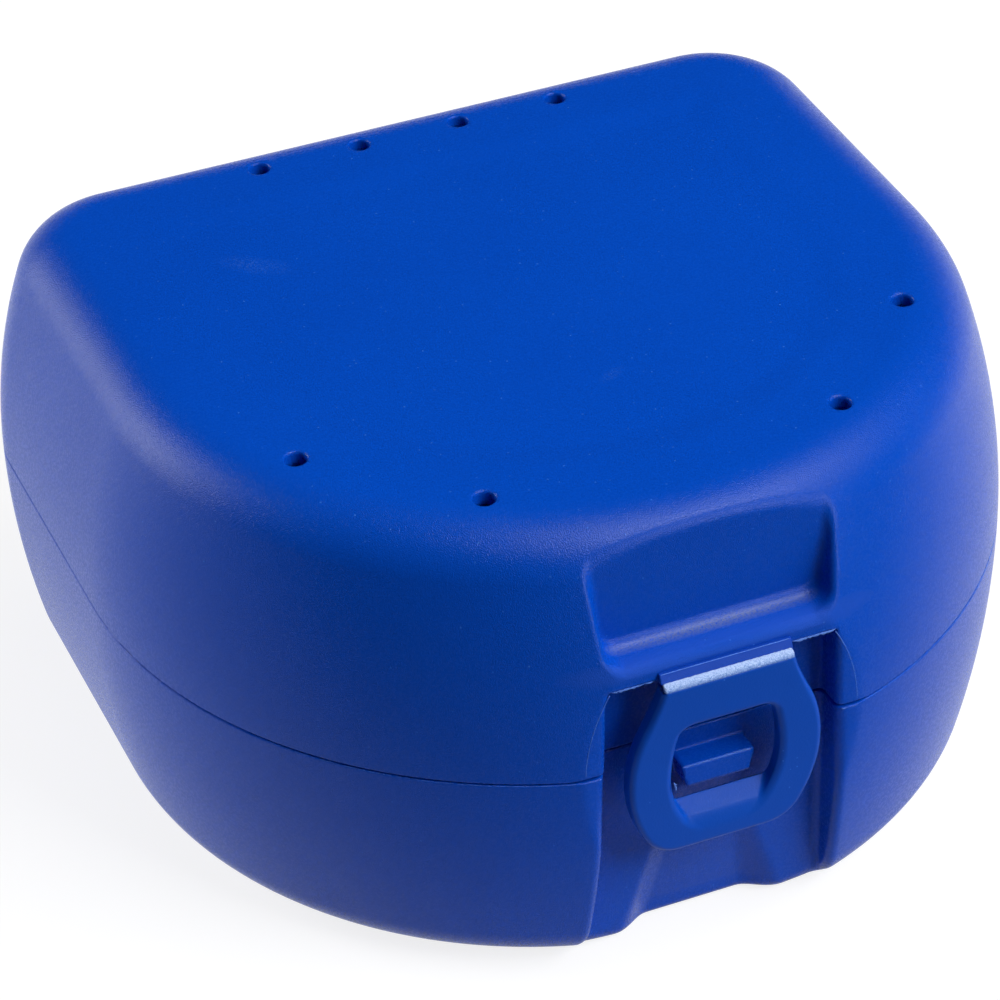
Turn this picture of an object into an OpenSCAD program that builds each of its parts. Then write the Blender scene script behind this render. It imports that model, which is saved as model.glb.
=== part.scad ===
// Orthodontic retainer case: a deep D-shaped box in two moulded halves, with a pinned
// hinge at the back and a ring latch on a film hinge at the front.
// Millimetres, +Z up, front towards -Y. The origin lies on the rest face, under the
// centre of the front arc.

/* [Case] */
// Overall width at the parting line
case_w = 85.4; // [80:0.2:96]
// Distance from the centre of the front arc to the back wall
back_reach = 37.5; // [33:0.5:48]
// Radius of the back corners in plan
corner_r = 13.2; // [12:0.2:18]
// Wall thickness of both shells
wall = 1.6; // [1.2:0.1:2]
// Gap between the two rims when the case is shut
parting_gap = 0.15; // [0.1:0.05:0.3]

/* [Base] */
// Height from the rest face to the parting plane
base_h = 22.9; // [20:0.1:28]
// Radius of the barrel curve of the base wall
base_bulge_r = 82.6; // [70:0.2:160]
// Radius of the edge between wall and bottom
base_edge_r = 5.4; // [4:0.1:7]

/* [Lid] */
// Height from the parting plane to the top
lid_h = 23; // [21:0.1:28]
// Radius of the barrel curve of the lid wall
lid_bulge_r = 58.7; // [52:0.1:120]
// Radius of the edge between wall and top
lid_edge_r = 6.5; // [5:0.1:8]
// Width of the plain border round the shallow dish in the top
dish_border = 6.5; // [4:0.1:10]
// Depth of the dish
dish_depth = 0.35; // [0.2:0.05:0.6]
// Corner radius at the back of the dish
dish_corner_r = 5; // [3:0.5:10]

/* [Rim] */
// Height of the register lip above the base rim
lip_h = 1.6; // [1:0.1:2.5]
// Thickness of the lip
lip_t = 0.9; // [0.7:0.1:1.2]
// Clearance between the lip and the lid wall
lip_gap = 0.25; // [0.15:0.05:0.4]
// Depth of the shoulder that carries the lip
shoulder_h = 3; // [2:0.5:5]

/* [Vents] */
// Diameter of each vent
vent_d = 2; // [1.5:0.1:3]
// Distance of the vents from the outline in plan
vent_inset = 9.4; // [8.6:0.1:12]
// Spacing of the four rear vents
rear_vent_pitch = 10; // [7:0.5:13]
// Angle between the front vents, from the centre line
front_vent_step = 29.6; // [22:0.2:34]

/* [Front face] */
// Depth of the flat face below the front of the arc
facet_cut = 2; // [1.7:0.1:2.3]
// Depth of the latch recess below the flat face, at the parting line
recess_depth = 3.1; // [2.9:0.1:3.5]
// Width of the recess at the parting line
recess_w = 21.7; // [20.5:0.1:23]
// Width of the recess at its top
recess_top_w = 21.4; // [20.6:0.1:21.7]
// Height of the recess above the parting line
recess_rise = 8.7; // [8.3:0.1:9]
// Slope of the recess floor in the base, in degrees
recess_draft = 3; // [1:0.5:4]
// Widening of the recess sides in the base, in degrees
recess_flare = 1.6; // [0.5:0.1:3]

/* [Thumb pocket] */
// Width of the pocket at its floor
pocket_w = 20.4; // [16:0.2:22]
// Lean of each side of the pocket, in degrees
pocket_flare = 6; // [0:0.5:9]
// Thickness of the lip between recess and pocket, at its front edge
pocket_lip_t = 1.7; // [1.5:0.1:2.2]
// Rise of the pocket floor from front to back, in degrees
pocket_slope = 13; // [5:1:20]
// Corner radius of the pocket floor
pocket_corner_r = 2.4; // [1:0.1:4]

/* [Finger channel] */
// Width of the channel floor
channel_w = 10.6; // [8:0.2:12]
// Width of each sloped side
channel_side = 2; // [1:0.1:2.5]
// Depth of the channel below the recess floor
channel_depth = 1.6; // [1:0.1:2]
// Depth of the channel's upper end below the parting line
channel_drop = 7; // [6:0.2:9]

/* [Catch lug] */
// Width of the lug at its top
lug_w = 6.8; // [5:0.1:7.5]
// Narrowing of each side towards its underside
lug_taper = 0.4; // [0:0.1:0.8]
// Height of the lug
lug_h = 2.3; // [1.8:0.1:2.5]
// Depth of the lug's top below the parting line
lug_drop = 2.3; // [1.8:0.1:2.6]
// Clearance between the lug's tip and the ring
lug_gap = 0.15; // [0.1:0.05:0.3]

/* [Latch ring] */
// Thickness of the ring
ring_t = 1.5; // [1.3:0.1:1.8]
// Overall height of the ring
ring_h = 18.5; // [17.5:0.1:19.5]
// Overall width of the ring
ring_w = 18.1; // [17:0.1:19]
// Width of the neck at the film
neck_w = 12.1; // [10:0.1:13]
// Height of the widest place below the parting line
ring_waist = 1.7; // [1:0.1:2.5]
// Radius of the curved sides
ring_side_r = 13.5; // [12:0.5:16]
// Radius of the lower corners
ring_corner_r = 3.6; // [2.5:0.1:4.5]
// Width of the ring beside its window
ring_band = 3.95; // [3.4:0.05:4.6]
// Height of the window's top above the parting line
window_rise = 3.6; // [3:0.1:4.2]
// Radius of the window's sides above the widest place
window_side_r = 16.8; // [13:0.2:20]
// Radius of the window's upper corners
window_corner_r = 0.9; // [0.6:0.1:1.5]
// Height of the lower bar at the back of the ring
bar_back_h = 5.1; // [4.7:0.1:5.4]
// Height of the lower bar at the front of the ring
bar_front_h = 2.8; // [2.3:0.1:3.3]
// Lean of the ring towards the case's foot, in degrees
ring_lean = 2.9; // [2:0.1:3.5]

/* [Film hinge] */
// Width of the root and the film
root_w = 12.2; // [10:0.1:13]
// Height of the root on the flat face
root_h = 0.8; // [0.7:0.05:0.9]
// Thickness of the root at its top
root_t = 0.35; // [0.25:0.05:0.45]
// Distance of the film's bend line in front of the flat face
film_reach = 0.89; // [0.85:0.01:1]
// Distance of the bend line below the root
film_drop = 0.3; // [0.25:0.05:0.4]
// Radius of the film's bead
film_r = 0.35; // [0.3:0.01:0.4]
// Clearance between the bead and the ring
film_gap = 0.06; // [0.04:0.01:0.08]
// Skin of the ring in front of the bead
film_skin = 0.1; // [0.08:0.01:0.2]

/* [Back hinge] */
// Distance of the hinge axis behind the back wall
hinge_offset = 3; // [2.9:0.1:3.4]
// Radius of the ears and knuckles
knuckle_r = 2.5; // [2:0.1:2.6]
// Diameter of the pin
pin_d = 2; // [1.5:0.1:2.4]
// Running clearance of the pin in the lid knuckle, on the radius
pin_gap = 0.05; // [0.03:0.01:0.08]
// Width of each base ear
ear_w = 3; // [2:0.1:4]
// Width of each lid knuckle
lid_knuckle_w = 7; // [5:0.2:10]
// Gap between an ear and the knuckle
ear_gap = 0.3; // [0.2:0.05:0.5]
// Distance of each hinge from the centre line
hinge_spread = 17; // [12:0.5:20]
// Height of the web that joins an ear or knuckle to its wall
web_h = 5.5; // [4.5:0.1:7]
// Distance of each web from the parting plane
web_clear = 1.2; // [0.8:0.1:1.5]

/* [Hidden] */
$fn = 96;
case_blue = "#0b46bd";
film_white = "#b8d2f0";
ring_blue = "#0d4bc4";
pin_blue = "#0a3da6";
// Straight steps along the wall curve, the edge curve and an outline's arcs
wall_steps = 4;
edge_steps = 8;
arc_steps = 10;
// Reach of a cutter past the face that it cuts
past = 1;
// Depth by which a moulded-on feature is rooted in its wall
root_in = 0.6;
// Angle at which a web runs into the round of its knuckle
web_turn = 60;
half_w = case_w / 2;
rim = parting_gap / 2;
side_len = back_reach - corner_r;
facet_y = half_w - facet_cut;
recess_y = facet_y - recess_depth;
// Plan distances that the front cutters span
front_reach = facet_cut + recess_depth + past;
front_wall_y = recess_y - wall;
front_wall_w = max(recess_w, pocket_w + 2 * lid_h * tan(pocket_flare)) + 2 * wall;
lip_inset = wall + lip_gap;
hinge_y = back_reach + hinge_offset;
hinge_w = 2 * ear_w + lid_knuckle_w + 2 * ear_gap;
film_y = facet_y + film_reach;
film_z = recess_rise - film_drop;
ring_top = film_z - film_r / 2;
ring_front_y = film_y + film_r + film_gap + film_skin;
bar_back_y = ring_front_y - ring_t - (ring_h - bar_back_h) * tan(ring_lean);
lug_tip_y = bar_back_y - lug_gap;

// Points of an arc about a centre, from angle a to angle b
function arc(c, r, a, b) = [
    for (i = [0 : arc_steps])
        let (t = a + (b - a) * i / arc_steps)
            [c[0] + r * cos(t), c[1] + r * sin(t)]
];

// A length kept to whole thousandths, so that swept and straight pieces meet exactly
function whole(v) = round(v * 1000) / 1000;

// Inset of the edge curve's centre from the outline
function edge_inset(bulge_r, edge_r, h) =
    bulge_r - sqrt(pow(bulge_r - edge_r, 2) - pow(h - edge_r, 2));

// Wall curve as [inset, height] pairs from the parting plane to the flat, set in by t
function wall_curve(bulge_r, edge_r, h, t, start) =
    let (rise = h - edge_r)
    let (inset = edge_inset(bulge_r, edge_r, h))
    let (turn = atan2(rise, bulge_r - inset))
    concat(
        [[t, start]],
        [for (i = [1 : wall_steps])
            let (a = turn * i / wall_steps)
                [whole(bulge_r - (bulge_r - t) * cos(a)), whole((bulge_r - t) * sin(a))]],
        [for (i = [1 : edge_steps])
            let (a = turn + (90 - turn) * i / edge_steps)
                [whole(inset - (edge_r - t) * cos(a)), whole(rise + (edge_r - t) * sin(a))]]
    );

// Right half of a section, from the middle line out to the curve about a plan radius
function half_section(curve, r) = concat(
    [[0, curve[0][1]]],
    [for (p = curve) [r - p[0], p[1]]],
    [[0, curve[len(curve) - 1][1]]]
);

// Whole section across the straight sides
function full_section(curve, r) = concat(
    [for (p = curve) [r - p[0], p[1]]],
    [for (i = [len(curve) - 1 : -1 : 0]) [curve[i][0] - r, curve[i][1]]]
);

// An X-Z outline drawn out towards the front
module forward(depth) {
    rotate([90, 0, 0])
        linear_extrude(depth)
            children();
}

// A Y-Z outline drawn out along X, centred on the middle plane
module across(width) {
    rotate([90, 0, 90])
        translate([0, 0, -width / 2])
            linear_extrude(width)
                children();
}

// Solid with the D plan and one wall curve all round
module d_solid(curve) {
    rotate([0, 0, 180])
        rotate_extrude(angle = 180)
            polygon(half_section(curve, half_w));
    translate([0, side_len, 0])
        forward(side_len)
            polygon(full_section(curve, half_w));
    translate([half_w - corner_r, side_len, 0])
        rotate_extrude(angle = 90)
            polygon(half_section(curve, corner_r));
    translate([corner_r - half_w, side_len, 0])
        rotate([0, 0, 90])
            rotate_extrude(angle = 90)
                polygon(half_section(curve, corner_r));
    translate([0, side_len, 0])
        across(2 * (half_w - corner_r))
            polygon(half_section(curve, corner_r));
}

// Closed loop along the D plan, with a section drawn from the outline inwards
module d_loop() {
    rotate([0, 0, 180])
        rotate_extrude(angle = 180)
            translate([half_w, 0])
                children();
    for (side = [0, 1])
        mirror([side, 0, 0]) {
            translate([half_w, side_len, 0])
                forward(side_len)
                    children();
            translate([half_w - corner_r, side_len, 0])
                rotate_extrude(angle = 90)
                    translate([corner_r, 0])
                        children();
        }
    translate([0, back_reach, 0])
        across(2 * (half_w - corner_r))
            children();
}

// Flat front face, cut on the bulge of either half
module facet_cut_box() {
    translate([-half_w, -facet_y - half_w, -base_h - past])
        cube([case_w, half_w, base_h + lid_h + 2 * past]);
}

// Block that the cavity leaves standing behind recess and pocket
module front_wall_block(depth_y, width) {
    translate([-width / 2, -half_w - past, -base_h - past])
        cube([width, half_w + past - depth_y, base_h + lid_h + 2 * past]);
}

// Recess above the parting line
module lid_recess() {
    translate([0, -recess_y, 0])
        forward(front_reach)
            polygon([
                [-recess_w / 2, -past], [recess_w / 2, -past], [recess_w / 2, 0],
                [recess_top_w / 2, recess_rise], [-recess_top_w / 2, recess_rise], [-recess_w / 2, 0]
            ]);
}

// Recess below the parting line, with its sloped floor
module base_recess() {
    deep = base_h + 2 * past;
    low_w = recess_w + 2 * deep * tan(recess_flare);
    translate([0, -recess_y, 0])
        rotate([recess_draft, 0, 0])
            forward(front_reach)
                polygon([
                    [-recess_w / 2, past], [recess_w / 2, past], [recess_w / 2, 0],
                    [low_w / 2, -deep], [-low_w / 2, -deep], [-recess_w / 2, 0]
                ]);
}

// Scoop below the ring, grown by extra on its sides and floor
module finger_channel(extra) {
    low = base_h + 2 * past;
    floor_w = channel_w / 2 + extra;
    open_w = floor_w + channel_side;
    translate([0, -recess_y, 0])
        rotate([recess_draft, 0, 0])
            translate([0, 0, -low])
                linear_extrude(low - channel_drop + extra)
                    polygon([
                        [-open_w, 0], [-floor_w, channel_depth + extra],
                        [floor_w, channel_depth + extra], [open_w, 0],
                        [open_w, -front_reach], [-open_w, -front_reach]
                    ]);
}

// Thumb pocket above the lip, with a floor that rises towards its back
module thumb_pocket() {
    floor_z = recess_rise + pocket_lip_t;
    low_w = pocket_w / 2;
    corner = pocket_corner_r;
    top_z = lid_h + past;
    top_w = low_w + (top_z - floor_z) * tan(pocket_flare);
    back_rise = recess_depth * tan(pocket_slope);
    intersection() {
        translate([0, -recess_y, 0])
            forward(front_reach)
                polygon(concat(
                    arc([corner - low_w, floor_z + corner], corner, 180, 270),
                    arc([low_w - corner, floor_z + corner], corner, 270, 360),
                    [[top_w, top_z], [-top_w, top_z]]
                ));
        across(case_w)
            polygon([
                [-facet_y - front_reach, floor_z - past], [-facet_y, floor_z],
                [-recess_y, floor_z + back_rise], [-recess_y + past, top_z],
                [-facet_y - front_reach, top_z]
            ]);
    }
}

// Shallow dish in the flat of the top
module top_dish() {
    border = edge_inset(lid_bulge_r, lid_edge_r, lid_h) + dish_border;
    r = half_w - border;
    back = back_reach - border;
    corner = dish_corner_r;
    translate([0, 0, lid_h - dish_depth])
        linear_extrude(dish_depth + past)
            polygon(concat(
                arc([0, 0], r, 180, 360),
                arc([r - corner, back - corner], corner, 0, 90),
                arc([corner - r, back - corner], corner, 90, 180)
            ));
}

// Eight vents: a straight row at the back and two pairs round the front
module vents() {
    module hole() {
        translate([0, 0, lid_h / 2])
            cylinder(d = vent_d, h = lid_h);
    }
    for (i = [-1.5 : 1.5])
        translate([i * rear_vent_pitch, back_reach - vent_inset, 0])
            hole();
    for (i = [-2, -1, 1, 2])
        rotate([0, 0, i * front_vent_step])
            translate([0, vent_inset - half_w, 0])
                hole();
}

// Side view of an ear or knuckle about the hinge axis, with its web on the low side
module knuckle_outline(bore_r) {
    into_wall = -hinge_offset - root_in;
    difference() {
        union() {
            circle(r = knuckle_r);
            polygon([
                [into_wall, -web_h], [into_wall, -web_clear], [0, -web_clear],
                [knuckle_r * cos(web_turn), -knuckle_r * sin(web_turn)]
            ]);
        }
        circle(r = bore_r);
    }
}

// Ears of one hinge, on the base
module base_ears() {
    for (end = [-1, 1])
        translate([end * (lid_knuckle_w / 2 + ear_gap + ear_w / 2), hinge_y, 0])
            across(ear_w)
                knuckle_outline(pin_d / 2);
}

// Knuckle of one hinge, on the lid
module lid_knuckle() {
    translate([0, hinge_y, 0])
        mirror([0, 0, 1])
            across(lid_knuckle_w)
                knuckle_outline(pin_d / 2 + pin_gap);
}

// Register lip with the shoulder that carries it inside the base wall
module register_lip() {
    difference() {
        d_loop()
            polygon([
                [-wall + root_in, -shoulder_h - lip_inset], [-lip_inset - lip_t, -shoulder_h],
                [-lip_inset - lip_t, lip_h], [-lip_inset, lip_h], [-lip_inset, -rim],
                [-wall + root_in, -rim]
            ]);
        front_wall_block(front_wall_y - lip_inset - lip_t, front_wall_w + 2 * lip_inset);
    }
}

// Catch lug on the recess floor
module catch_lug() {
    translate([0, root_in - recess_y, 0])
        forward(lug_tip_y - recess_y + root_in)
            polygon([
                [-lug_w / 2, -lug_drop], [lug_w / 2, -lug_drop],
                [lug_w / 2 - lug_taper, -lug_drop - lug_h],
                [lug_taper - lug_w / 2, -lug_drop - lug_h]
            ]);
}

module base_shell() {
    color(case_blue)
        translate([0, 0, base_h]) {
            difference() {
                mirror([0, 0, 1])
                    d_solid(wall_curve(base_bulge_r, base_edge_r, base_h, 0, rim));
                difference() {
                    mirror([0, 0, 1])
                        d_solid(wall_curve(base_bulge_r, base_edge_r, base_h, wall, -past));
                    translate([0, -recess_y + wall, 0])
                        rotate([recess_draft, 0, 0])
                            translate([-front_wall_w / 2, -half_w, -base_h - past])
                                cube([front_wall_w, half_w, base_h + 3 * past]);
                    finger_channel(wall);
                }
                facet_cut_box();
                base_recess();
                finger_channel(0);
            }
            register_lip();
            catch_lug();
            for (side = [-1, 1])
                translate([side * hinge_spread, 0, 0])
                    base_ears();
        }
}

module lid_shell() {
    color(case_blue)
        translate([0, 0, base_h]) {
            difference() {
                d_solid(wall_curve(lid_bulge_r, lid_edge_r, lid_h, 0, rim));
                difference() {
                    d_solid(wall_curve(lid_bulge_r, lid_edge_r, lid_h, wall, -past));
                    front_wall_block(front_wall_y, front_wall_w);
                }
                facet_cut_box();
                lid_recess();
                thumb_pocket();
                top_dish();
                vents();
            }
            for (side = [-1, 1])
                translate([side * hinge_spread, 0, 0])
                    lid_knuckle();
        }
}

// Root on the flat face, with a sloped front and the rounded film along its lower edge
module latch_film_hinge() {
    foot_y = -film_y + film_r / 2;
    color(film_white)
        translate([0, 0, base_h])
            across(root_w) {
                polygon([
                    [-facet_y, recess_rise], [-facet_y, recess_rise + root_h],
                    [-facet_y - root_t, recess_rise + root_h], [foot_y, recess_rise],
                    [foot_y, film_z], [foot_y + film_r / 2, film_z],
                    [foot_y + film_r / 2, recess_rise]
                ]);
                translate([-film_y, film_z])
                    circle(r = film_r);
            }
}

// Outline of the ring, measured down from its top edge
module ring_outline() {
    waist = -ring_top - ring_waist;
    side_x = ring_w / 2 - ring_side_r;
    corner_z = -ring_h + ring_corner_r;
    inner_r = ring_side_r - ring_corner_r;
    corner_x = side_x + sqrt(pow(inner_r, 2) - pow(corner_z - waist, 2));
    low = atan2(corner_z - waist, corner_x - side_x);
    high = acos((neck_w / 2 - side_x) / ring_side_r);
    right = concat(
        arc([corner_x, corner_z], ring_corner_r, -90, low),
        arc([side_x, waist], ring_side_r, low, high),
        [[neck_w / 2, 0]]
    );
    polygon(concat(right, [for (i = [len(right) - 1 : -1 : 0]) [-right[i][0], right[i][1]]]));
}

// Window of the ring, down to the back of the lower bar
module window_outline(low) {
    waist = -ring_top - ring_waist;
    low_x = ring_w / 2 - ring_side_r;
    low_r = ring_side_r - ring_band;
    high_x = ring_w / 2 - ring_band - window_side_r;
    corner = window_corner_r;
    corner_z = window_rise - ring_top - corner;
    corner_x = high_x + sqrt(pow(window_side_r - corner, 2) - pow(corner_z - waist, 2));
    high = atan2(corner_z - waist, corner_x - high_x);
    right = concat(
        arc([low_x, waist], low_r, -asin((waist - low) / low_r), 0),
        arc([high_x, waist], window_side_r, 0, high),
        arc([corner_x, corner_z], corner, high, 90)
    );
    polygon(concat(right, [for (i = [len(right) - 1 : -1 : 0]) [-right[i][0], right[i][1]]]));
}

module latch_ring() {
    bar_back = bar_back_h - ring_h;
    bar_front = bar_front_h - ring_h;
    color(ring_blue)
        translate([0, 0, base_h])
            difference() {
                translate([0, -ring_front_y, ring_top])
                    rotate([ring_lean, 0, 0])
                        difference() {
                            translate([0, ring_t, 0])
                                forward(ring_t)
                                    ring_outline();
                            translate([0, ring_t + past, 0])
                                forward(ring_t + 2 * past)
                                    window_outline(bar_back);
                            // Sloped shelf from the window down to the front of the bar
                            intersection() {
                                translate([0, ring_t + past, 0])
                                    forward(ring_t + 2 * past)
                                        window_outline(bar_front);
                                across(ring_w)
                                    polygon([
                                        [-past, bar_front], [0, bar_front], [ring_t, bar_back],
                                        [ring_t, bar_back + past], [-past, bar_back + past]
                                    ]);
                            }
                        }
                // Round seat for the film's bead
                translate([0, -film_y, film_z])
                    across(neck_w + past)
                        circle(r = film_r + film_gap);
                // Back of the bar, kept in front of the lug
                translate([-half_w, -bar_back_y, -base_h])
                    cube([case_w, half_w, base_h - lug_drop]);
            }
}

module hinge_pin(side) {
    color(pin_blue)
        translate([side * hinge_spread, hinge_y, base_h])
            rotate([0, 90, 0])
                cylinder(d = pin_d, h = hinge_w, center = true);
}

module hinge_pin_left() {
    hinge_pin(-1);
}

module hinge_pin_right() {
    hinge_pin(1);
}

base_shell();
lid_shell();
latch_film_hinge();
latch_ring();
hinge_pin_left();
hinge_pin_right();
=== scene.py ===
import math

import bpy
import numpy as np
from mathutils import Matrix, Vector


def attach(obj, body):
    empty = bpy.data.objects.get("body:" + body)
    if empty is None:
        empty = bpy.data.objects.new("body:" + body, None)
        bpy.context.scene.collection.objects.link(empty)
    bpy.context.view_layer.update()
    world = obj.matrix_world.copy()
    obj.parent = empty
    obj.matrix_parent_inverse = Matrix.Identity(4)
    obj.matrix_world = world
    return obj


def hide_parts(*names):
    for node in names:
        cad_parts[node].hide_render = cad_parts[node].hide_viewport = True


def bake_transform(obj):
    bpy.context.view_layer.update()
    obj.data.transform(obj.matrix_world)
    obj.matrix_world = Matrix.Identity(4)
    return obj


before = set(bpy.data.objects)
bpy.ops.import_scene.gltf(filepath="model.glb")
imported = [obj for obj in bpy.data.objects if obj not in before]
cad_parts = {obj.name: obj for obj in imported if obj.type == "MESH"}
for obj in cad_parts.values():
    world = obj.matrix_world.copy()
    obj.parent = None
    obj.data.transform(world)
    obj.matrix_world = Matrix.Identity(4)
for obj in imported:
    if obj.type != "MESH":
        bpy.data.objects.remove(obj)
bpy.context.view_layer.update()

# Base shell
# The deep lower half of the case, one shot of royal blue polypropylene with a spark-eroded skin.
# Latch recess, finger channel, catch lug, register lip and hinge ears are moulded in one with it.
# Sizes are in millimetres: f counts towards the front, and heights count from the parting plane.
mm = 0.001
half_w, back_reach, corner_r, shell_t = 42.7, 37.5, 13.2, 1.6
base_h, base_bulge_r, base_edge_r, rim_gap = 22.9, 82.6, 5.4, 0.075
facet_f, recess_f, recess_half_w = 40.7, 37.6, 10.85
lug_f, lug_half_w, lug_top, lug_foot = 39.78, 3.4, 2.3, 4.6
lip_outer, lip_inner, lip_h = 1.85, 2.75, 1.6
hinge_x, hinge_y, knuckle_r, bore_r = 17, 40.5, 2.498, 1.0
ear_off, ear_half_w = 5.3, 1.5
royal_deep, royal_light = (0.0002, 0.06, 0.47), (0.0005, 0.07, 0.53)


def grown(a, b, r):
    """Two forms grown together, with a fillet of radius r where they meet."""
    fillet = np.hypot(np.maximum(r - a, 0), np.maximum(r - b, 0))
    return np.maximum(r, np.minimum(a, b)) - fillet


def shared(a, b, r):
    """What two forms share, with the edge between them rounded to radius r."""
    rounding = np.hypot(np.maximum(r + a, 0), np.maximum(r + b, 0))
    return np.minimum(-r, np.maximum(a, b)) + rounding


def cut(a, b, r):
    """The first form with the second cut out of it, and the cut's edges rounded to radius r."""
    return shared(a, -b, r)


def ease(t):
    """A soft step from 0 to 1."""
    t = np.clip(t, 0, 1)
    return t * t * (3 - 2 * t)


def inset(x, y):
    """How far a point lies inside the D outline, in plan."""
    front = half_w - np.hypot(x, y)
    qx = np.abs(x) - (half_w - corner_r)
    qy = y - (back_reach - corner_r)
    past_corner = np.hypot(np.maximum(qx, 0), np.maximum(qy, 0))
    back = corner_r - past_corner - np.minimum(np.maximum(qx, qy), 0)
    return np.where(y < 0, front, back)


def barrel(e, z, bulge_r, edge_r, h):
    """Distance from a barrel wall that turns through a round edge into a flat."""
    rise = h - edge_r
    c = bulge_r - math.sqrt((bulge_r - edge_r) ** 2 - rise ** 2)
    turn = math.atan2(rise, bulge_r - c)
    wall = np.hypot(bulge_r - e, z) - bulge_r
    edge = np.hypot(c - e, z - rise) - edge_r
    on_edge = (z - rise) * math.cos(turn) > (c - e) * math.sin(turn)
    return np.where(e > c, np.maximum(z - h, wall), np.where(on_edge, edge, wall))


def hinge_barrel(y, z):
    """Side view of an ear or knuckle: a round on the hinge axis, and a web down to the wall."""
    v = y - hinge_y
    web_run, web_drop, web_slant = 4.85, 3.335, 5.886
    slant = (web_drop * (v - 1.25) - web_run * (z + 2.165)) / web_slant
    web = np.maximum(np.maximum(z + 1.2, slant), -3.4 - v)
    return np.minimum(np.hypot(v, z) - knuckle_r, web)


def base_form(x, y, z):
    """Distance from the base shell, in millimetres, with z from the parting plane."""
    a, f, low = np.abs(x), -y, -z
    e = inset(x, y)
    outer = barrel(e, low, base_bulge_r, base_edge_r, base_h)
    # Recess with its sloped floor, and in it the finger channel, deeper and wider towards the foot
    channel_deep, channel_from, channel_run = 1.75, 6.5, 14.5
    scoop = ease((0.95 + 0.325 * low - a) / (0.2 + 0.165 * low))
    deepening = channel_deep * np.clip((low - channel_from) / channel_run, 0, 1)
    floor = recess_f - 0.0524 * low - deepening * scoop
    recess = shared(a - recess_half_w - 0.028 * low, floor - f, 0.7)
    body = shared(outer, f - facet_f, 0.12)
    body = cut(body, recess, 1.0)
    body = shared(body, z + rim_gap, 0.15)
    behind = shared(a - 15.2, floor - shell_t - f, 0.6)
    body = cut(body, cut(outer + shell_t, behind, 0.8), 0.2)
    # Catch lug
    lug = np.maximum(a - lug_half_w + 0.21 * (low - lug_top), f - lug_f)
    lug = shared(shared(lug, lug_top - low, 0.12), low - lug_foot, 0.12)
    body = grown(body, np.maximum(lug, 36.5 - f), 0.2)
    # Register lip on its shoulder, left out behind the latch
    rib = shared(np.maximum(e - lip_inner, lip_outer - e), z - lip_h, 0.2)
    under = 0.69 * (1.057 * (e - 1) - 4.85 - z)
    shoulder = np.maximum(np.maximum(e - lip_inner, 1.0 - e), np.maximum(z + rim_gap, under))
    lip = np.minimum(np.maximum(rib, -3 - z), shoulder)
    body = np.minimum(body, np.maximum(lip, -np.maximum(a - 17.05, 33.25 - f)))
    # Hinge ears with their bores
    ear = shared(hinge_barrel(y, z), np.abs(np.abs(a - hinge_x) - ear_off) - ear_half_w, 0.25)
    eared = cut(grown(body, ear, 0.3), np.hypot(y - hinge_y, z) - bore_r, 0.1)
    return np.where(y > 30, eared, body)


def stations(*runs):
    """One row of grid stations from runs of (start, end, step)."""
    return np.concatenate([np.arange(a, b - 1e-9, s) for a, b, s in runs] + [[runs[-1][1]]])


def slope(form, p, step):
    """Direction in which a form's distance grows at each point."""
    g = np.empty_like(p)
    for k in range(3):
        q = np.zeros(3)
        q[k] = step
        g[:, k] = form(*(p + q).T) - form(*(p - q).T)
    return g / (2 * step)


def case_mesh(name, points, quads, normals=None):
    """Mesh object from points in millimetres, with its faces turned outwards."""
    corners = points[quads]
    if np.einsum("ij,ij->", corners[:, 0], np.cross(corners[:, 1], corners[:, 2])) < 0:
        quads = quads[:, ::-1]
    mesh = bpy.data.meshes.new(name)
    mesh.vertices.add(len(points))
    standing = (points + (0, 0, base_h)) * mm
    mesh.vertices.foreach_set("co", standing.astype(np.float32).ravel())
    mesh.loops.add(4 * len(quads))
    mesh.loops.foreach_set("vertex_index", quads.astype(np.int32).ravel())
    mesh.polygons.add(len(quads))
    mesh.polygons.foreach_set("loop_start", np.arange(0, 4 * len(quads), 4, dtype=np.int32))
    mesh.update(calc_edges=True)
    mesh.polygons.foreach_set("use_smooth", np.ones(len(quads), bool))
    if normals is not None:
        mesh.normals_split_custom_set_from_vertices(normals.astype(np.float32))
    piece = bpy.data.objects.new(name, mesh)
    bpy.context.scene.collection.objects.link(piece)
    return piece


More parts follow.
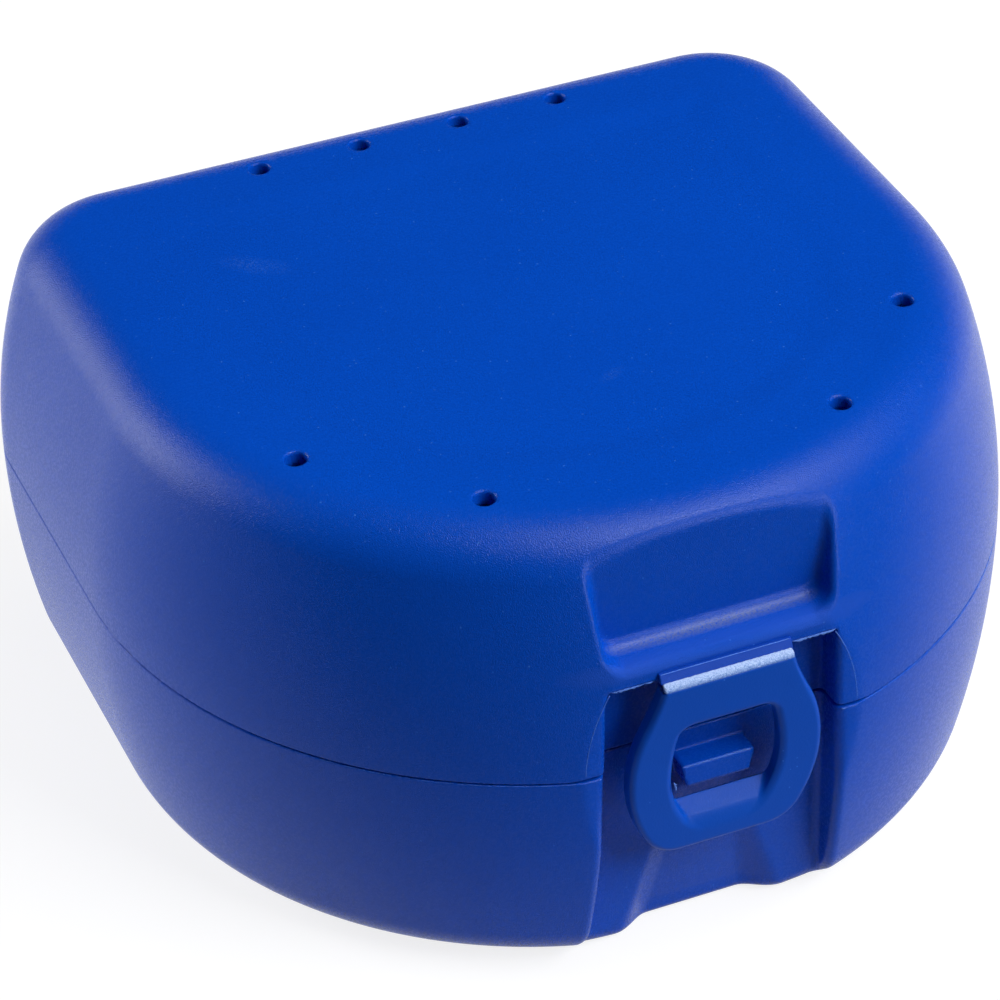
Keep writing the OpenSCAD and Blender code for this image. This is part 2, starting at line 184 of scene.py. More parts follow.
def skin(name, form, rows):
    """Mesh on the surface of a form: one point in each grid cell that the surface crosses."""
    probe, normal_probe, damping, margin_share = 0.02, 0.05, 0.08, 0.02
    d = form(*np.meshgrid(*rows, indexing="ij"))
    size = d.shape
    count = np.zeros([n - 1 for n in size], np.int8)
    for i in (0, 1):
        for j in (0, 1):
            for k in (0, 1):
                count += d[i:size[0] - 1 + i, j:size[1] - 1 + j, k:size[2] - 1 + k] < 0
    crossed = (count > 0) & (count < 8)
    number = np.full(crossed.shape, -1)
    number[crossed] = np.arange(crossed.sum())
    quads, points = [], []
    for axis in range(3):
        u, w = (axis + 1) % 3, (axis + 2) % 3
        near, far = [slice(None)] * 3, [slice(None)] * 3
        near[axis], far[axis] = slice(0, -1), slice(1, None)
        a, b = d[tuple(near)], d[tuple(far)]
        at = np.argwhere((a < 0) != (b < 0))
        at = at[(at[:, u] > 0) & (at[:, u] < size[u] - 1)]
        at = at[(at[:, w] > 0) & (at[:, w] < size[w] - 1)]
        da, db = a[tuple(at.T)], b[tuple(at.T)]
        p = np.stack([rows[k][at[:, k]] for k in range(3)], 1)
        p[:, axis] += da / (da - db) * (rows[axis][at[:, axis] + 1] - rows[axis][at[:, axis]])
        around = []
        for du, dw in ((-1, -1), (0, -1), (0, 0), (-1, 0)):
            cell = at.copy()
            cell[:, u] += du
            cell[:, w] += dw
            around.append(number[tuple(cell.T)])
        around = np.stack(around, 1)
        around[da > 0] = around[da > 0][:, ::-1]
        quads.append(around)
        points.append(p)
    quads, points = np.concatenate(quads), np.concatenate(points)
    # Each cell's point is where the tangent planes of its crossings meet, so that edges stay crisp
    lean = slope(form, points, probe)
    lean /= np.linalg.norm(lean, axis=1)[:, None] + 1e-9
    height = np.sum(lean * points, 1) - form(*points.T)
    cell, n_cells = quads.ravel(), int(crossed.sum())

    def gather(values):
        return np.bincount(cell, np.repeat(values, 4), n_cells)

    share = gather(np.ones(len(points)))
    middle = np.stack([gather(points[:, k]) / share for k in range(3)], 1)
    system = np.zeros((n_cells, 3, 3))
    for i in range(3):
        for j in range(i, 3):
            system[:, i, j] = system[:, j, i] = gather(lean[:, i] * lean[:, j])
    right = np.stack([gather(lean[:, i] * height) for i in range(3)], 1)
    right -= np.einsum("nij,nj->ni", system, middle)
    system += damping * np.eye(3)
    p = middle + np.linalg.solve(system, right[:, :, None])[:, :, 0]
    index = np.argwhere(crossed)
    lowest = np.stack([rows[k][index[:, k]] for k in range(3)], 1)
    highest = np.stack([rows[k][index[:, k] + 1] for k in range(3)], 1)
    # Kept a little inside their cells, no two points coincide
    margin = margin_share * (highest - lowest)
    lowest, highest = lowest + margin, highest - margin
    for _ in range(2):
        p = np.clip(p, lowest, highest)
        g = slope(form, p, probe)
        p = p - g * (form(*p.T) / (np.sum(g * g, 1) + 1e-6))[:, None]
    p = np.clip(p, lowest, highest)
    g = slope(form, p, normal_probe)
    return case_mesh(name, p, quads, g / (np.linalg.norm(g, axis=1)[:, None] + 1e-9))


base = skin("base_shell_skin", base_form, (
    stations((-43.2, -14, 0.6), (-14, 14, 0.28), (14, 43.3, 0.6)),
    stations((-43.3, -33, 0.28), (-33, 33, 0.6), (33, 43.6, 0.3)),
    stations((-23.25, -16, 0.4), (-16, -5, 0.5), (-5, -1.6, 0.28), (-1.6, -0.4, 0.2),
             (-0.4, 0.08, 0.06), (0.08, 2.9, 0.33)),
))


def link(tree, source, target):
    """Joins two sockets in a node tree."""
    tree.links.new(source, target)


def node(tree, kind, inputs=None, **settings):
    """A node with its settings and the plain values of its inputs."""
    made = tree.nodes.new(kind)
    for key, value in settings.items():
        setattr(made, key, value)
    for key, value in (inputs or {}).items():
        made.inputs[key].default_value = value
    return made


# The skin that spark erosion leaves in the mould: fine pits, with slow changes in tone and gloss
eroded = bpy.data.node_groups.new("spark_eroded_skin", "ShaderNodeTree")
eroded.interface.new_socket("Place", in_out="INPUT", socket_type="NodeSocketVector")
eroded.interface.new_socket("Grain", in_out="INPUT", socket_type="NodeSocketFloat")
for out in ("Height", "Gloss", "Tone"):
    eroded.interface.new_socket(out, in_out="OUTPUT", socket_type="NodeSocketFloat")
g_in, g_out = node(eroded, "NodeGroupInput"), node(eroded, "NodeGroupOutput")
fine = node(eroded, "ShaderNodeTexNoise", {"Detail": 0.0})
coarse_scale = node(eroded, "ShaderNodeMath", {1: 0.34}, operation="MULTIPLY")
coarse = node(eroded, "ShaderNodeTexNoise", {"Detail": 1.0})
pits = node(eroded, "ShaderNodeTexVoronoi", {"Randomness": 1.0}, feature="SMOOTH_F1")
tone = node(eroded, "ShaderNodeTexNoise", {"Scale": 55.0, "Detail": 3.0})
link(eroded, g_in.outputs["Grain"], fine.inputs["Scale"])
link(eroded, g_in.outputs["Grain"], coarse_scale.inputs[0])
link(eroded, coarse_scale.outputs[0], coarse.inputs["Scale"])
link(eroded, g_in.outputs["Grain"], pits.inputs["Scale"])
for texture in (fine, coarse, pits, tone):
    link(eroded, g_in.outputs["Place"], texture.inputs["Vector"])
both = node(eroded, "ShaderNodeMath", {1: 0.15}, operation="MULTIPLY_ADD")
link(eroded, coarse.outputs[0], both.inputs[0])
link(eroded, fine.outputs[0], both.inputs[2])
pitted = node(eroded, "ShaderNodeMath", {1: 0.25}, operation="MULTIPLY_ADD")
link(eroded, pits.outputs["Distance"], pitted.inputs[0])
link(eroded, both.outputs[0], pitted.inputs[2])
link(eroded, pitted.outputs[0], g_out.inputs["Height"])
gloss = node(eroded, "ShaderNodeMapRange", {"From Min": 0.3, "From Max": 0.7,
                                            "To Min": -0.04, "To Max": 0.04})
link(eroded, coarse.outputs[0], gloss.inputs["Value"])
link(eroded, gloss.outputs[0], g_out.inputs["Gloss"])
link(eroded, tone.outputs[0], g_out.inputs["Tone"])


# Dust that has settled on the skin, in pale specks a tenth of a millimetre across
settled = bpy.data.node_groups.new("settled_dust", "ShaderNodeTree")
settled.interface.new_socket("Place", in_out="INPUT", socket_type="NodeSocketVector")
settled.interface.new_socket("Amount", in_out="INPUT", socket_type="NodeSocketFloat")
settled.interface.new_socket("Specks", in_out="OUTPUT", socket_type="NodeSocketFloat")
g_in, g_out = node(settled, "NodeGroupInput"), node(settled, "NodeGroupOutput")
grains = node(settled, "ShaderNodeTexVoronoi", {"Scale": 1500.0, "Randomness": 1.0})
speck = node(settled, "ShaderNodeMapRange", {"From Min": 0.06, "From Max": 0.15,
                                             "To Min": 1.0, "To Max": 0.0})
lot = node(settled, "ShaderNodeSeparateColor")
drawn = node(settled, "ShaderNodeMath", operation="LESS_THAN")
paleness = node(settled, "ShaderNodeMath", operation="MULTIPLY")
kept = node(settled, "ShaderNodeMath", operation="MULTIPLY")
link(settled, g_in.outputs["Place"], grains.inputs["Vector"])
link(settled, grains.outputs["Distance"], speck.inputs["Value"])
link(settled, grains.outputs["Color"], lot.inputs["Color"])
link(settled, lot.outputs["Red"], drawn.inputs[0])
link(settled, g_in.outputs["Amount"], drawn.inputs[1])
link(settled, speck.outputs[0], paleness.inputs[0])
link(settled, lot.outputs["Green"], paleness.inputs[1])
link(settled, paleness.outputs[0], kept.inputs[0])
link(settled, drawn.outputs[0], kept.inputs[1])
link(settled, kept.outputs[0], g_out.inputs["Specks"])


def case_plastic(name, deep, light, grain, pit_depth, roughness, specular, dust):
    """Moulded polypropylene: two close tones, an eroded skin, soft gloss, a little dust."""
    dust_tone = (0.05, 0.2, 0.72, 1)
    made = bpy.data.materials.new(name)
    made.use_nodes = True
    tree = made.node_tree
    tree.nodes.clear()
    out = node(tree, "ShaderNodeOutputMaterial")
    shader = node(tree, "ShaderNodeBsdfPrincipled", {"Specular IOR Level": specular})
    place = node(tree, "ShaderNodeTexCoord")
    surface = node(tree, "ShaderNodeGroup", node_tree=eroded)
    surface.inputs["Grain"].default_value = grain
    link(tree, place.outputs["Object"], surface.inputs["Place"])
    colour = node(tree, "ShaderNodeMix", data_type="RGBA")
    colour.inputs["A"].default_value = (*deep, 1)
    colour.inputs["B"].default_value = (*light, 1)
    link(tree, surface.outputs["Tone"], colour.inputs["Factor"])
    dusty = node(tree, "ShaderNodeGroup", node_tree=settled)
    dusty.inputs["Amount"].default_value = dust
    link(tree, place.outputs["Object"], dusty.inputs["Place"])
    dusted = node(tree, "ShaderNodeMix", data_type="RGBA", name="dusted")
    dusted.inputs["B"].default_value = dust_tone
    link(tree, dusty.outputs["Specks"], dusted.inputs["Factor"])
    link(tree, colour.outputs["Result"], dusted.inputs["A"])
    link(tree, dusted.outputs["Result"], shader.inputs["Base Color"])
    rough = node(tree, "ShaderNodeMath", {1: roughness}, operation="ADD")
    link(tree, surface.outputs["Gloss"], rough.inputs[0])
    link(tree, rough.outputs[0], shader.inputs["Roughness"])
    bump = node(tree, "ShaderNodeBump", {"Strength": 1.0, "Distance": pit_depth})
    link(tree, surface.outputs["Height"], bump.inputs["Height"])
    link(tree, bump.outputs[0], shader.inputs["Normal"])
    link(tree, shader.outputs[0], out.inputs["Surface"])
    return made


base.data.materials.append(case_plastic(
    "base_blue", royal_deep, royal_light,
    grain=10000, pit_depth=0.00003, roughness=0.27, specular=0.15, dust=0.15))
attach(base, "base")
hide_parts("base_shell")

# Hinge pins
# Two short blue rods of the same plastic, pressed into the base ears so that the lid turns on them.
# Their ends are eased, and stand flush with the outer faces of the ears.
pin_half, pin_r, pin_sides = 6.78, 0.99, 32
pin_profile = [(-pin_half, 0.35), (-pin_half, 0.8), (-pin_half + 0.06, 0.92),
               (-pin_half + 0.2, pin_r), (-5, pin_r), (0, pin_r), (5, pin_r), (pin_half - 0.2, pin_r),
               (pin_half - 0.06, 0.92), (pin_half, 0.8), (pin_half, 0.35)]
pin_blue = case_plastic("pin_blue", (0.0012, 0.05, 0.4), (0.002, 0.06, 0.46),
                        grain=2600, pit_depth=0.000012, roughness=0.38, specular=0.14, dust=0.1)


def sleeve_faces(n, rings):
    """Faces that join rings of n points each into a sleeve, with strips that close both ends."""
    sleeve = [(i * n + j, i * n + (j + 1) % n, (i + 1) * n + (j + 1) % n, (i + 1) * n + j)
              for i in range(rings - 1) for j in range(n)]
    last = (rings - 1) * n
    for k in range(n // 2 - 1):
        sleeve.append((k + 1, k, n - 1 - k, n - 2 - k))
        sleeve.append((last + k, last + k + 1, last + n - 2 - k, last + n - 1 - k))
    return np.array(sleeve)


for side, pin_name in ((-1, "hinge_pin_left"), (1, "hinge_pin_right")):
    turns = np.arange(pin_sides) * 2 * math.pi / pin_sides
    points = [(side * hinge_x + px, hinge_y + r * math.cos(t), r * math.sin(t))
              for px, r in pin_profile for t in turns]
    pin = case_mesh(pin_name + "_rod", np.array(points), sleeve_faces(pin_sides, len(pin_profile)))
    pin.data.materials.append(pin_blue)
    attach(pin, "base")
    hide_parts(pin_name)

# Lid shell
# The upper half, moulded in the same blue: barrel walls, a shallow dish in the top, eight drying
# vents, and at the front the thumb pocket above the upper part of the latch recess.
lid_h, lid_bulge_r, lid_edge_r = 23.0, 58.7, 6.5
dish_deep, dish_edge, dish_run = 0.35, 13.6, 4.2
recess_top, pocket_back_f, pocket_half_w, pocket_z = 8.7, 37.5, 10.25, 10.5
vent_r, vent_row_y, vent_arc_r = 1.0, 28.1, 33.3


def lid_form(x, y, z):
    """Distance from the lid shell, in millimetres, with z from the parting plane."""
    a, f = np.abs(x), -y
    e = inset(x, y)
    plain = barrel(e, z, lid_bulge_r, lid_edge_r, lid_h)
    dish = dish_deep * ease((e - dish_edge) / dish_run)
    outer = barrel(e, z + dish, lid_bulge_r, lid_edge_r, lid_h)
    body = shared(outer, f - facet_f, 0.12)
    recess = shared(a - recess_half_w + 0.02 * z, recess_f - f, 0.4)
    recess = shared(recess, z - recess_top, 0.3)
    body = cut(body, recess, 0.2 + 0.5 * ease((8.3 - z) / 1.6))
    # Thumb pocket, with a floor that rises towards its back
    floor = 10.42 + 0.23 * (40.6 - f)
    pocket = shared(floor - z, a - pocket_half_w - 0.105 * (z - pocket_z), 1.7)
    pocket = shared(pocket, pocket_back_f - f, 0.8)
    body = cut(body, pocket, 0.75 - 0.15 * ease((z - 14) / 4))
    # Lower edge, raised a little beside the recess
    raised = 0.2 * ease((14 - a) / 1.2) * ease((f - 37) / 2)
    body = shared(body, rim_gap + raised - z, 0.15)
    behind = np.maximum(a - 14.6, 36.0 - f)
    body = cut(body, cut(plain + shell_t, behind, 0.8), 0.2)
    # Hinge knuckles, the ears' outline turned over
    knuckle_half_w, play = 3.5, 0.05
    knuckle = shared(hinge_barrel(y, -z), np.abs(a - hinge_x) - knuckle_half_w, 0.25)
    hinged = cut(grown(body, knuckle, 0.3), np.hypot(y - hinge_y, z) - bore_r - play, 0.1)
    body = np.where(y > 30, hinged, body)
    # Vents: a straight row at the back and two pairs round the front
    hole = np.minimum(np.hypot(a - 5, y - vent_row_y), np.hypot(a - 15, y - vent_row_y))
    for t in (math.radians(29.6), math.radians(59.2)):
        front_hole = np.hypot(a - vent_arc_r * math.sin(t), y + vent_arc_r * math.cos(t))
        hole = np.minimum(hole, front_hole)
    return cut(body, np.maximum(hole - vent_r, 15 - z), 0.2)


lid = skin("lid_shell_skin", lid_form, (
    stations((-43.2, -30, 0.6), (-30, -27, 0.3), (-27, -18, 0.6), (-18, 18, 0.28), (18, 27, 0.6),
             (27, 30, 0.3), (30, 43.3, 0.6)),
    stations((-43.3, -33, 0.28), (-33, -27, 0.3), (-27, -19, 0.6), (-19, -15, 0.3), (-15, 26, 0.6),
             (26, 30, 0.3), (30, 33, 0.6), (33, 43.6, 0.3)),
    stations((-2.9, -0.08, 0.35), (-0.08, 0.4, 0.06), (0.4, 1.6, 0.2), (1.6, 8, 0.5),
             (8, 13, 0.22), (13, 17, 0.4), (17, 23.3, 0.34)),
))
lid_blue = case_plastic("lid_blue", royal_deep, royal_light,
                        grain=10000, pit_depth=0.00003, roughness=0.27, specular=0.15, dust=0.2)
# Rubbed places where the skin has gone pale in fine flecks, in metres: two small ones on the top.
# The third, a strip along the inner edge of the pocket's floor, is a painted highlight in pale flecks
tree = lid_blue.node_tree
lid_shader = tree.nodes["Principled BSDF"]
place = tree.nodes["Texture Coordinate"].outputs["Object"]
flecks = node(tree, "ShaderNodeTexNoise", {"Scale": 6000.0, "Detail": 2.0})
link(tree, place, flecks.inputs["Vector"])


def rubbed_and_highlight_spot(middle, turn, reach):
    """A mask that is strongest at the middle of a spot and fades towards its reach."""
    turned = (0, 0, math.radians(turn))
    spot = node(tree, "ShaderNodeMapping", {"Location": middle, "Rotation": turned, "Scale": reach},
                vector_type="TEXTURE")
    fade = node(tree, "ShaderNodeTexGradient", gradient_type="SPHERICAL")
    link(tree, place, spot.inputs["Vector"])
    link(tree, spot.outputs[0], fade.inputs["Vector"])
    return fade.outputs["Fac"]


under = tree.nodes["dusted"].outputs["Result"]
for middle, turn, reach, bare, pale in (
        ((-0.021, 0.0131, 0.0455), -38, (0.0042, 0.0016, 0.002), 0.5, (0.05, 0.17, 0.66)),
        ((0.0008, -0.0164, 0.0455), 28, (0.0018, 0.0007, 0.002), 0.5, (0.05, 0.17, 0.66)),
        # painted highlight: pale flecks along the back fillet of the pocket's floor, not wear
        ((0, -0.0382, 0.0339), 0, (0.016, 0.0008, 0.0008), 0.3, (0.14, 0.18, 0.32))):
    pale_and_highlight_flecks = node(tree, "ShaderNodeMapRange",
                       {"From Min": bare, "From Max": bare + 0.25, "To Max": 0.8})
    link(tree, flecks.outputs[0], pale_and_highlight_flecks.inputs["Value"])
    worn_and_highlight = node(tree, "ShaderNodeMath", operation="MULTIPLY")
    rubbed_and_highlight = node(tree, "ShaderNodeMix", data_type="RGBA")
    rubbed_and_highlight.inputs["B"].default_value = (*pale, 1)
    link(tree, rubbed_and_highlight_spot(middle, turn, reach), worn_and_highlight.inputs[0])
    link(tree, pale_and_highlight_flecks.outputs[0], worn_and_highlight.inputs[1])
    link(tree, worn_and_highlight.outputs[0], rubbed_and_highlight.inputs["Factor"])
    link(tree, under, rubbed_and_highlight.inputs["A"])
    under = rubbed_and_highlight.outputs["Result"]
link(tree, under, lid_shader.inputs["Base Color"])
# The rim of the pocket's floor, dulled by thumbs
dulled = node(tree, "ShaderNodeMath", {1: 0.6}, operation="MULTIPLY_ADD")
link(tree, rubbed_and_highlight_spot((0, -0.0404, 0.0333), 0, (0.03, 0.0016, 0.0012)), dulled.inputs[0])
link(tree, lid_shader.inputs["Roughness"].links[0].from_socket, dulled.inputs[2])
link(tree, dulled.outputs[0], lid_shader.inputs["Roughness"])
lid.data.materials.append(lid_blue)
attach(lid, "lid")
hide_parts("lid_shell")

# Latch root
# The low block on the lid's flat face that carries the latch, in one with the lid's moulding.
# Its front slopes down to the film, and its edges are crisp from the slide of the mould.
film_f, film_z = 41.59, 8.4
root_f, root_top, root_foot, root_half_w = 41.05, 9.5, 8.7, 6.12


def root_form(x, y, z):
    """Distance from the wedge-shaped root."""
    a, f = np.abs(x), -y
    face = (f - root_f) * 0.887 + (z - 9.47) * 0.461
    body = shared(shared(face, z - root_top, 0.08), root_foot - z, 0.06)
    body = shared(body, a - root_half_w, 0.1)
    return np.maximum(body, facet_f - 0.02 - f)


root = skin("latch_root", root_form, (
    stations((-6.3, -5.7, 0.06), (-5.7, 5.7, 0.3), (5.7, 6.3, 0.06)),
    stations((-41.8, -40.5, 0.07)),
    stations((8.5, 9.7, 0.07)),
))
root.data.materials.append(case_plastic(
    "root_blue", (0.004, 0.052, 0.4), (0.007, 0.06, 0.45),
    grain=8000, pit_depth=0.000012, roughness=0.32, specular=0.05, dust=0.1))
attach(root, "lid")
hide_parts("latch_film_hinge")

# Latch film
# The thin web on which the ring swings, moulded between root and ring. Bending has whitened it
# and drawn its skin into fine crinkles.
film_half_w, mid_f, mid_z, front_points = 6.02, 41.75, 8.47, 7
across = np.linspace(-1, 1, 161)
section = [(41.36, 8.80), (41.48, 8.76), (41.68, 8.68), (41.86, 8.58), (41.97, 8.45),
           (42.04, 8.32), (42.05, 8.19), (41.96, 8.10), (41.82, 8.16), (41.74, 8.30),
           (41.62, 8.44), (41.48, 8.56), (41.36, 8.68), (41.36, 8.74)]
film_points = []
for s in across:
    # The ends are tucked in over their last hundredth
    tuck = 1 - 0.5 * max(0.0, abs(s) - 0.985) / 0.015
    for i, (f, z) in enumerate(section):
        crinkle = (0.018 * math.sin(47 * s + 2.1 * i) + 0.014 * math.sin(113 * s - 3.7 * i + 1.3)
                   + 0.01 * math.sin(211 * s + 5.3 * i))
        front = 1.0 if i < front_points else 0.2
        film_points.append((s * film_half_w,
                            -(mid_f + (f - mid_f) * tuck + crinkle * front * 0.75),
                            mid_z + (z - mid_z) * tuck + crinkle * front * 0.65))
film = case_mesh("latch_film", np.array(film_points), sleeve_faces(len(section), len(across)))
film_white = case_plastic("film_white", (0.3, 0.45, 0.86), (0.8, 0.92, 1.0),
                          grain=5200, pit_depth=0.00003, roughness=0.5, specular=0.3, dust=0.0)


def colour_ramp(tree, first, last, *between):
    """A ramp node from (position, colour) stops."""
    made = node(tree, "ShaderNodeValToRGB")
    stops = made.color_ramp.elements
    for stop, (position, tint) in zip(stops, (first, last)):
        stop.position, stop.color = position, (*tint, 1)
    for position, tint in between:
        stops.new(position).color = (*tint, 1)
    return made


# Whitest along the upper edge, where it bends most, and bluer and speckled towards the ring
tree = film_white.node_tree
speckle = node(tree, "ShaderNodeTexNoise", {"Scale": 11000.0, "Detail": 1.0, "Roughness": 0.5})
height = node(tree, "ShaderNodeSeparateXYZ")
strain = node(tree, "ShaderNodeMapRange", {"From Min": 0.03102, "From Max": 0.03168,
                                           "To Min": -0.16, "To Max": 0.26})
strained = node(tree, "ShaderNodeMath", operation="ADD")
link(tree, tree.nodes["Texture Coordinate"].outputs["Object"], speckle.inputs["Vector"])
link(tree, tree.nodes["Texture Coordinate"].outputs["Object"], height.inputs[0])
link(tree, height.outputs["Z"], strain.inputs["Value"])
link(tree, strain.outputs[0], strained.inputs[0])
link(tree, speckle.outputs[0], strained.inputs[1])
whitened = colour_ramp(tree, (0.2, (0.03, 0.13, 0.48)), (0.8, (0.46, 0.62, 0.94)),
                       (0.38, (0.1, 0.23, 0.62)), (0.55, (0.22, 0.35, 0.7)))
link(tree, strained.outputs[0], whitened.inputs["Fac"])
link(tree, whitened.outputs[0], tree.nodes["Principled BSDF"].inputs["Base Color"])
film.data.materials.append(film_white)
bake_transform(film)
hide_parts("latch_film_hinge")

# Latch ring
# The D-shaped flap with its window, in the same plastic but smooth from a polished slide.
# It hangs on the film, and its lower bar, with a sloped shelf, snaps over the catch lug.
ring_f, ring_top, ring_t, ring_h = 42.10, 8.225, 1.5, 18.5
ring_lean = math.radians(2.9)
lens_side, lens_down, lens_r, foot_r, neck_half_w = 4.45, 9.925, 13.5, 3.6, 6.05
window_side, window_side_r, window_low_r, window_top = 11.7, 16.8, 9.55, 4.625


def ring_form(x, y, z):
    """Distance from the latch ring."""
    a = np.abs(x)
    dy, dz = y + ring_f, z - ring_top
    c, s = math.cos(ring_lean), math.sin(ring_lean)
    back, up = dy * c + dz * s, dz * c - dy * s
    lens = np.hypot(a + lens_side, up + lens_down) - lens_r
    plate = np.maximum(lens, -ring_h - up)
    # Round lower corners
    corner_up = foot_r - ring_h
    corner_a = math.sqrt((lens_r - foot_r) ** 2 - (corner_up + lens_down) ** 2) - lens_side
    across_corner = (up - corner_up) * (corner_a + lens_side)
    on_corner = (a > corner_a) & (across_corner < (a - corner_a) * (corner_up + lens_down))
    plate = np.where(on_corner, np.hypot(a - corner_a, up - corner_up) - foot_r, plate)
    neck = np.maximum(a - neck_half_w, -4 - up)
    plate = grown(plate, neck, 1.6)
    body = shared(shared(shared(plate, -back, 0.6), back - ring_t, 0.15), up, 0.12)
    # Window with its round upper corners, and the shelf that runs down to the front of the bar
    upper_sides = np.hypot(a + window_side, up + lens_down) - window_side_r
    lower_sides = np.hypot(a + lens_side, up + lens_down) - window_low_r
    window = shared(np.where(up > -lens_down, upper_sides, lower_sides), up + window_top, 0.9)
    shelf = (-15.7 + back * 1.53 - up) * 0.55
    body = cut(body, shared(window, shelf, 0.3), 0.7 - 0.52 * ease(back / 1.1))
    # Clear of the lug's tip and of the film's bead
    clear_f, bead_r = 39.93, 0.42
    body = np.maximum(body, np.where(z < -lug_top, y + clear_f, -9))
    return np.maximum(body, bead_r - np.hypot(y + film_f, z - film_z))


ring = skin("latch_ring_skin", ring_form, (
    stations((-9.3, 9.3, 0.16)),
    stations((-42.5, -39.3, 0.13)),
    stations((-10.4, 8.6, 0.16)),
))
ring.data.materials.append(case_plastic(
    "ring_blue", (0.001, 0.063, 0.45), (0.002, 0.074, 0.5),
    grain=6000, pit_depth=0.00001, roughness=0.34, specular=0.11, dust=0.15))
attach(ring, "latch")
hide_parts("latch_ring")

# Mould flash
# Thin ragged fins of the same plastic, squeezed out where the parts of the mould met: under the
# lid's lip, along the flat face, on the root, the lug, the ring's window and the parting line.
# Drawn so thin, the plastic is pale.
flash_pale = case_plastic("flash_pale", (0.015, 0.1, 0.55), (0.16, 0.32, 0.8),
                          grain=3000, pit_depth=0.00001, roughness=0.5, specular=0.15, dust=0.0)


def flash(name, path, outward, reach, thick, body):
    """A fin along a path, of a height that wavers."""
    path = np.array(path, float)
    i = np.arange(len(path))
    along = np.gradient(path, axis=0)
    out = np.broadcast_to(np.array(outward, float), path.shape)
    out = out / np.linalg.norm(out, axis=1)[:, None]
    flat = np.cross(along, out)
    flat /= np.linalg.norm(flat, axis=1)[:, None]
    phase = len(name)
    waver = 0.6 + 0.4 * np.sin(1.7 * i + 4 * np.sin(0.37 * i + phase)) * np.sin(0.61 * i + phase)
    end_fade = np.minimum(1, np.minimum(i, i[::-1]) / 3 + 0.1)
    tip = path + out * (reach * waver * end_fade)[:, None]
    foot = path - 0.06 * out
    corners = np.stack([foot - flat * thick / 2, foot + flat * thick / 2,
                        tip + flat * thick / 6, tip - flat * thick / 6], 1)
    fin = case_mesh(name, corners.reshape(-1, 3), sleeve_faces(4, len(path)))
    fin.data.materials.append(flash_pale)
    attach(fin, body)


for side, word in ((-1, "left"), (1, "right")):
    flash("flash_lip_" + word, [(side * x, -40.6, 8.76) for x in np.linspace(6.25, 10.5, 22)],
          (0, -0.5, -0.87), reach=0.26, thick=0.14, body="lid")
    edge = []
    for z in np.linspace(0.4, 8.5, 70):
        r = half_w - lid_bulge_r + math.sqrt(lid_bulge_r ** 2 - z * z) - 0.05
        edge.append((side * math.sqrt(r * r - facet_f * facet_f), -facet_f + 0.05, z))
    flash("flash_face_" + word, edge, [(0.3 * side, -1, 0)],
          reach=0.09, thick=0.12, body="lid")
    flash("flash_rim_" + word, [(side * x, -40.6, -0.2) for x in np.linspace(11.3, 12.9, 30)],
          (0, -1, 0.1), reach=0.14, thick=0.08, body="base")
    arc, seam_r = np.radians(np.linspace(18.2, 56, 190)), 42.62
    seam = [side * seam_r * np.sin(arc), -seam_r * np.cos(arc), 0 * arc - 0.15]
    seam_out = [side * np.sin(arc), -np.cos(arc), 0.6 + 0 * arc]
    flash("flash_seam_" + word, np.stack(seam, 1), np.stack(seam_out, 1),
          reach=0.1, thick=0.06, body="base")
flash("flash_root", [(x, -41.0, 9.46) for x in np.linspace(-6.05, 6.05, 120)],
      (0, -0.4, 1), reach=0.1, thick=0.09, body="lid")
flash("flash_lug", [(x, -39.74, -2.36) for x in np.linspace(-3.3, 3.3, 70)],
      (0, -0.5, 0.9), reach=0.12, thick=0.08, body="base")
flash("flash_window", [(-5.0 + 0.02 * k, -41.6, -2.0 - 0.1 * k) for k in range(10)],
      (1, 0, 0.2), reach=0.2, thick=0.1, body="latch")

# Floor
# A plain pale table under the case. The camera sees it as white with the case's shadow, and so do
# reflections of the table beside and behind the case. The light it throws up is that of grey paper,
# darker further out.
bpy.ops.mesh.primitive_circle_add(vertices=96, radius=6, fill_type="NGON",
                                  location=(0, 0, -0.0002))
floor = bpy.context.object
floor.name = "floor"
table = bpy.data.materials.new("pale_table")
table.use_nodes = True
tree = table.node_tree
tree.nodes.clear()
seen = node(tree, "ShaderNodeLightPath")
spot = node(tree, "ShaderNodeNewGeometry")
away = node(tree, "ShaderNodeVectorMath", operation="LENGTH")
link(tree, spot.outputs["Position"], away.inputs[0])
depth = node(tree, "ShaderNodeSeparateXYZ")
link(tree, spot.outputs["Position"], depth.inputs[0])
near = node(tree, "ShaderNodeMapRange", {"From Min": -0.064, "From Max": -0.028})
link(tree, depth.outputs["Y"], near.inputs["Value"])
gleam = node(tree, "ShaderNodeMath", operation="MULTIPLY_ADD")
mirrored = node(tree, "ShaderNodeMath", operation="ADD", use_clamp=True)
link(tree, seen.outputs["Is Glossy Ray"], gleam.inputs[0])
link(tree, near.outputs[0], gleam.inputs[1])
link(tree, seen.outputs["Is Camera Ray"], gleam.inputs[2])
link(tree, gleam.outputs[0], mirrored.inputs[0])
link(tree, seen.outputs["Is Transmission Ray"], mirrored.inputs[1])
paper = node(tree, "ShaderNodeBsdfDiffuse")
grey = colour_ramp(tree, (0.07, (0.62, 0.62, 0.63)), (0.2, (0.1, 0.1, 0.1)))
link(tree, away.outputs["Value"], grey.inputs["Fac"])
dark_away = node(tree, "ShaderNodeMix", data_type="RGBA")
dark_away.inputs["B"].default_value = (0.02, 0.02, 0.02, 1)
link(tree, seen.outputs["Is Glossy Ray"], dark_away.inputs["Factor"])
link(tree, grey.outputs[0], dark_away.inputs["A"])
link(tree, dark_away.outputs["Result"], paper.inputs["Color"])
white = node(tree, "ShaderNodeEmission", {"Color": (1, 1, 1, 1), "Strength": 0.82})
shade = node(tree, "ShaderNodeBsdfDiffuse", {"Color": (0.25, 0.25, 0.25, 1)})
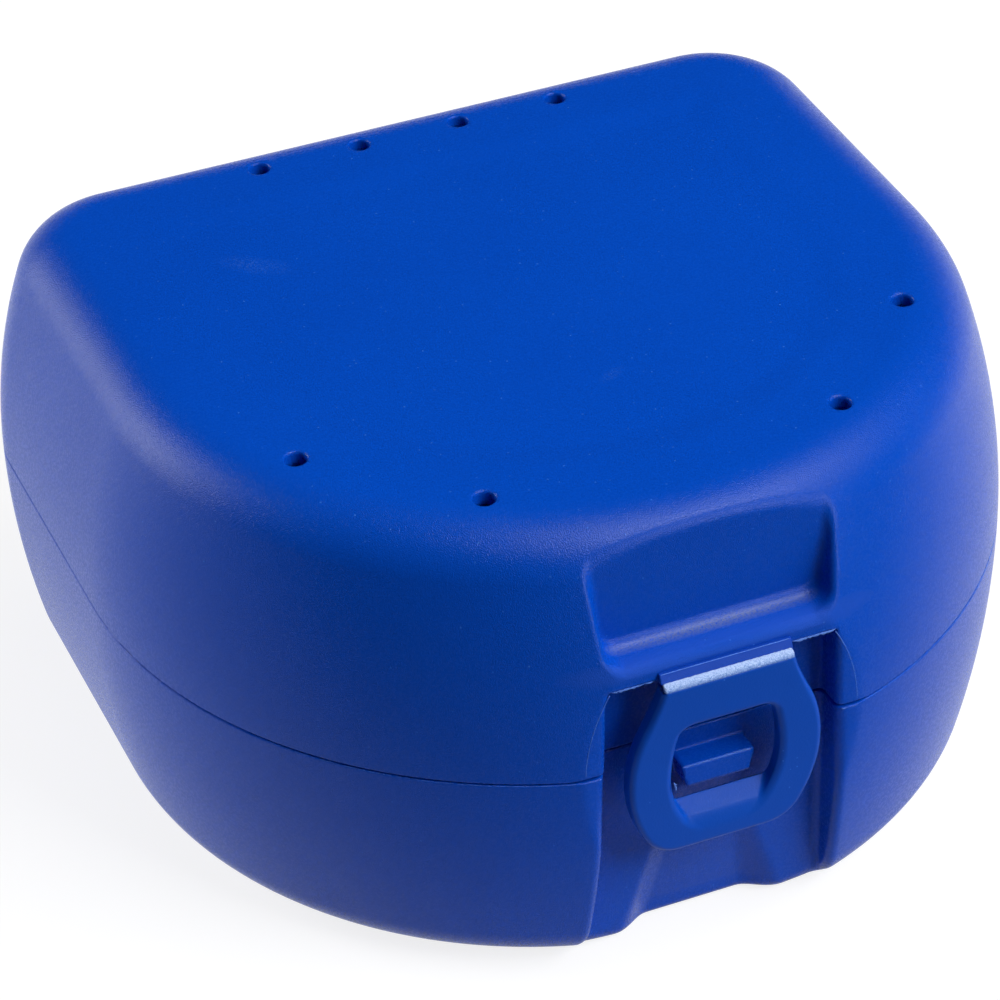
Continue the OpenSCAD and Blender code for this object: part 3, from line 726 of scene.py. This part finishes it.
lit = node(tree, "ShaderNodeAddShader")
mixed = node(tree, "ShaderNodeMixShader")
link(tree, white.outputs[0], lit.inputs[0])
link(tree, shade.outputs[0], lit.inputs[1])
link(tree, mirrored.outputs[0], mixed.inputs["Fac"])
link(tree, paper.outputs[0], mixed.inputs[1])
link(tree, lit.outputs[0], mixed.inputs[2])
link(tree, mixed.outputs[0], node(tree, "ShaderNodeOutputMaterial").inputs["Surface"])
floor.data.materials.append(table)

# Studio light
# Softboxes at the back left, overhead, on the right and in front light the case. The first is
# mirrored too. Two cards, which light no matt surface, draw the highlights above the thumb pocket,
# along its floor and on the ring's shelf.
world = bpy.data.worlds.new("studio")
bpy.context.scene.world = world
world.use_nodes = True
tree = world.node_tree
tree.nodes.clear()
dim = node(tree, "ShaderNodeBackground", {"Color": (1, 1, 1, 1), "Strength": 0.02})
link(tree, dim.outputs[0], node(tree, "ShaderNodeOutputWorld").inputs["Surface"])


def softbox(name, azimuth, elevation, width, height, radiance, matt=True, gloss=True):
    """An area lamp aimed at the case: azimuth 0 in front and 90 on the right, and an elevation."""
    lamp_away, aim = 0.8, Vector((0, 0, 0.024))
    a, e = math.radians(azimuth), math.radians(elevation)
    towards = Vector((math.sin(a) * math.cos(e), -math.cos(a) * math.cos(e), math.sin(e)))
    data = bpy.data.lights.new(name, "AREA")
    data.shape, data.size, data.size_y = "RECTANGLE", width, height
    data.energy = radiance * math.pi * width * height
    lamp = bpy.data.objects.new(name, data)
    lamp.location = aim + towards * lamp_away
    lamp.rotation_mode = "QUATERNION"
    lamp.rotation_quaternion = towards.to_track_quat("Z", "Y")
    lamp.visible_diffuse, lamp.visible_glossy = matt, gloss
    bpy.context.scene.collection.objects.link(lamp)


softbox("softbox_back_left", -130, 14, 0.4, 0.52, 8.2)
softbox("softbox_overhead", 40, 84, 0.4, 0.4, 1.7, gloss=False)
softbox("softbox_right", 70, 40, 0.4, 0.4, 5.6, gloss=False)
softbox("softbox_front", 35, 40, 0.4, 0.4, 8.8, gloss=False)
softbox("card_over", 34, 62, 0.6, 0.34, 10.5, matt=False)
softbox("card_low", 24, 8, 0.4, 0.3, 7.5, matt=False)

# Camera
# The photograph's viewpoint, found from its outline, vents and parting line.
camera_data = bpy.data.cameras.new("camera")
camera_data.lens, camera_data.sensor_width = 151.73, 36.0
camera = bpy.data.objects.new("camera", camera_data)
camera.matrix_world = Matrix((
    (0.919317, 0.247404, -0.306018, -0.121968),
    (-0.392843, 0.531466, -0.750479, -0.291155),
    (-0.023033, 0.810145, 0.585776, 0.24991),
    (0, 0, 0, 1),
))
bpy.context.scene.collection.objects.link(camera)
bpy.context.scene.camera = camera
bpy.context.scene.view_settings.view_transform = "Standard"
